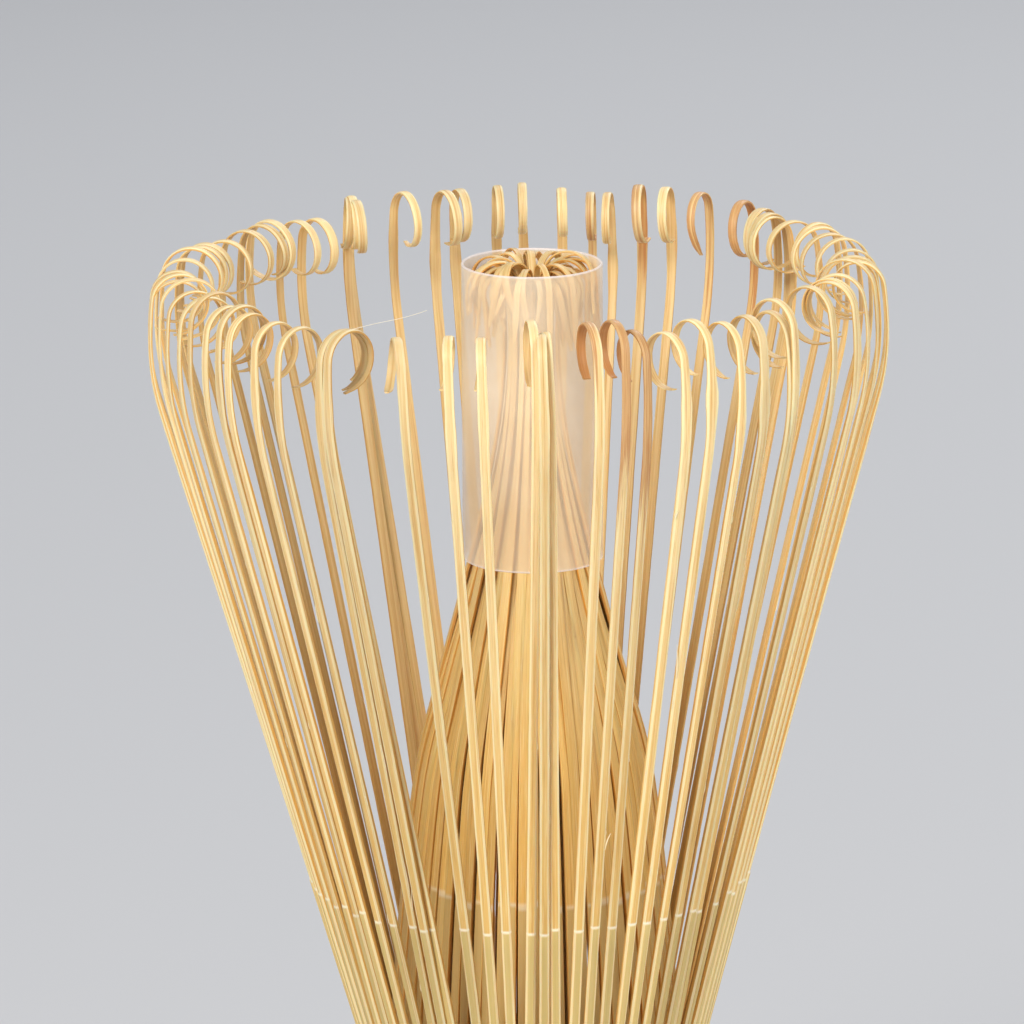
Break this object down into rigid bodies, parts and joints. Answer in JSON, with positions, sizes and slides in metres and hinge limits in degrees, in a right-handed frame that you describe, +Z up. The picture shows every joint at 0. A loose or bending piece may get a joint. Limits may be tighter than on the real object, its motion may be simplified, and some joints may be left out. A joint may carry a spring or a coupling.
{
  "type": "bamboo tea whisk",
  "caption": "Bamboo tea whisk: a culm handle split into spread, curled outer tines and gathered inner tines in a clear sleeve, bound with thread.",
  "frame": {"origin": "centre of the handle's bottom rim", "axes": "+Z up along the whisk's axis, from the handle to the tines; +X is the side the inner bundle leans to"},
  "size_m": [0.0598, 0.0598, 0.117],
  "materials": {
    "culm_skin": "smooth natural bamboo rind",
    "outer_bamboo": "split bamboo, satin, fine lengthwise grain",
    "inner_bamboo": "split bamboo, satin, fine lengthwise grain",
    "thread": "twisted cotton thread",
    "frosted_plastic": "frosted translucent film tube"
  },
  "bodies": {
    "whisk": {"handle": "culm_skin", "inner_tines_01": "inner_bamboo", "inner_tines_02": "inner_bamboo", "inner_tines_03": "inner_bamboo", "inner_tines_04": "inner_bamboo", "inner_tines_05": "inner_bamboo", "inner_tines_06": "inner_bamboo", "inner_tines_07": "inner_bamboo", "inner_tines_08": "inner_bamboo", "inner_tines_09": "inner_bamboo", "inner_tines_10": "inner_bamboo", "inner_tines_11": "inner_bamboo", "inner_tines_12": "inner_bamboo", "inner_tines_13": "inner_bamboo", "inner_tines_14": "inner_bamboo", "inner_tines_15": "inner_bamboo", "inner_tines_16": "inner_bamboo", "inner_tines_17": "inner_bamboo", "inner_tines_18": "inner_bamboo", "binding_thread": "thread", "spacing_thread": "thread"},
    "outer_sector_01": {"outer_tines_01": "outer_bamboo"},
    "outer_sector_02": {"outer_tines_02": "outer_bamboo"},
    "outer_sector_03": {"outer_tines_03": "outer_bamboo"},
    "outer_sector_04": {"outer_tines_04": "outer_bamboo"},
    "outer_sector_05": {"outer_tines_05": "outer_bamboo"},
    "outer_sector_06": {"outer_tines_06": "outer_bamboo"},
    "outer_sector_07": {"outer_tines_07": "outer_bamboo"},
    "outer_sector_08": {"outer_tines_08": "outer_bamboo"},
    "outer_sector_09": {"outer_tines_09": "outer_bamboo"},
    "outer_sector_10": {"outer_tines_10": "outer_bamboo"},
    "outer_sector_11": {"outer_tines_11": "outer_bamboo"},
    "outer_sector_12": {"outer_tines_12": "outer_bamboo"},
    "outer_sector_13": {"outer_tines_13": "outer_bamboo"},
    "outer_sector_14": {"outer_tines_14": "outer_bamboo"},
    "outer_sector_15": {"outer_tines_15": "outer_bamboo"},
    "outer_sector_16": {"outer_tines_16": "outer_bamboo"},
    "outer_sector_17": {"outer_tines_17": "outer_bamboo"},
    "outer_sector_18": {"outer_tines_18": "outer_bamboo"},
    "sleeve": {"inner_tip_sleeve": "frosted_plastic"}
  },
  "joints": [
    {"name": "outer_flex_01", "type": "hinge", "parent": "whisk", "child": "outer_sector_01", "pos_m": [0.01193, 0.00434, 0.0447], "axis": [-0.342, 0.9397, 0], "range_deg": [-3, 4], "stiffness_Nm_per_rad": 0.013},
    {"name": "outer_flex_02", "type": "hinge", "parent": "whisk", "child": "outer_sector_02", "pos_m": [0.00973, 0.00816, 0.0447], "axis": [-0.6428, 0.766, 0], "range_deg": [-3, 4], "stiffness_Nm_per_rad": 0.013},
    {"name": "outer_flex_03", "type": "hinge", "parent": "whisk", "child": "outer_sector_03", "pos_m": [0.00635, 0.011, 0.0447], "axis": [-0.866, 0.5, 0], "range_deg": [-3, 4], "stiffness_Nm_per_rad": 0.013},
    {"name": "outer_flex_04", "type": "hinge", "parent": "whisk", "child": "outer_sector_04", "pos_m": [0.0022, 0.01251, 0.0447], "axis": [-0.9848, 0.1736, 0], "range_deg": [-3, 4], "stiffness_Nm_per_rad": 0.013},
    {"name": "outer_flex_05", "type": "hinge", "parent": "whisk", "child": "outer_sector_05", "pos_m": [-0.0022, 0.01251, 0.0447], "axis": [-0.9848, -0.1736, 0], "range_deg": [-3, 4], "stiffness_Nm_per_rad": 0.013},
    {"name": "outer_flex_06", "type": "hinge", "parent": "whisk", "child": "outer_sector_06", "pos_m": [-0.00635, 0.011, 0.0447], "axis": [-0.866, -0.5, 0], "range_deg": [-3, 4], "stiffness_Nm_per_rad": 0.013},
    {"name": "outer_flex_07", "type": "hinge", "parent": "whisk", "child": "outer_sector_07", "pos_m": [-0.00973, 0.00816, 0.0447], "axis": [-0.6428, -0.766, 0], "range_deg": [-3, 4], "stiffness_Nm_per_rad": 0.013},
    {"name": "outer_flex_08", "type": "hinge", "parent": "whisk", "child": "outer_sector_08", "pos_m": [-0.01193, 0.00434, 0.0447], "axis": [-0.342, -0.9397, 0], "range_deg": [-3, 4], "stiffness_Nm_per_rad": 0.013},
    {"name": "outer_flex_09", "type": "hinge", "parent": "whisk", "child": "outer_sector_09", "pos_m": [-0.0127, 0, 0.0447], "axis": [0, -1, 0], "range_deg": [-3, 4], "stiffness_Nm_per_rad": 0.013},
    {"name": "outer_flex_10", "type": "hinge", "parent": "whisk", "child": "outer_sector_10", "pos_m": [-0.01193, -0.00434, 0.0447], "axis": [0.342, -0.9397, 0], "range_deg": [-3, 4], "stiffness_Nm_per_rad": 0.013},
    {"name": "outer_flex_11", "type": "hinge", "parent": "whisk", "child": "outer_sector_11", "pos_m": [-0.00973, -0.00816, 0.0447], "axis": [0.6428, -0.766, 0], "range_deg": [-3, 4], "stiffness_Nm_per_rad": 0.013},
    {"name": "outer_flex_12", "type": "hinge", "parent": "whisk", "child": "outer_sector_12", "pos_m": [-0.00635, -0.011, 0.0447], "axis": [0.866, -0.5, 0], "range_deg": [-3, 4], "stiffness_Nm_per_rad": 0.013},
    {"name": "outer_flex_13", "type": "hinge", "parent": "whisk", "child": "outer_sector_13", "pos_m": [-0.0022, -0.01251, 0.0447], "axis": [0.9848, -0.1736, 0], "range_deg": [-3, 4], "stiffness_Nm_per_rad": 0.013},
    {"name": "outer_flex_14", "type": "hinge", "parent": "whisk", "child": "outer_sector_14", "pos_m": [0.0022, -0.01251, 0.0447], "axis": [0.9848, 0.1736, 0], "range_deg": [-3, 4], "stiffness_Nm_per_rad": 0.013},
    {"name": "outer_flex_15", "type": "hinge", "parent": "whisk", "child": "outer_sector_15", "pos_m": [0.00635, -0.011, 0.0447], "axis": [0.866, 0.5, 0], "range_deg": [-3, 4], "stiffness_Nm_per_rad": 0.013},
    {"name": "outer_flex_16", "type": "hinge", "parent": "whisk", "child": "outer_sector_16", "pos_m": [0.00973, -0.00816, 0.0447], "axis": [0.6428, 0.766, 0], "range_deg": [-3, 4], "stiffness_Nm_per_rad": 0.013},
    {"name": "outer_flex_17", "type": "hinge", "parent": "whisk", "child": "outer_sector_17", "pos_m": [0.01193, -0.00434, 0.0447], "axis": [0.342, 0.9397, 0], "range_deg": [-3, 4], "stiffness_Nm_per_rad": 0.013},
    {"name": "outer_flex_18", "type": "hinge", "parent": "whisk", "child": "outer_sector_18", "pos_m": [0.0127, 0, 0.0447], "axis": [0, 1, 0], "range_deg": [-3, 4], "stiffness_Nm_per_rad": 0.013},
    {"name": "sleeve_slide", "type": "slide", "parent": "whisk", "child": "sleeve", "axis": [0.0157, 0, 0.9999], "range_m": [0, 0.04]}
  ]
}
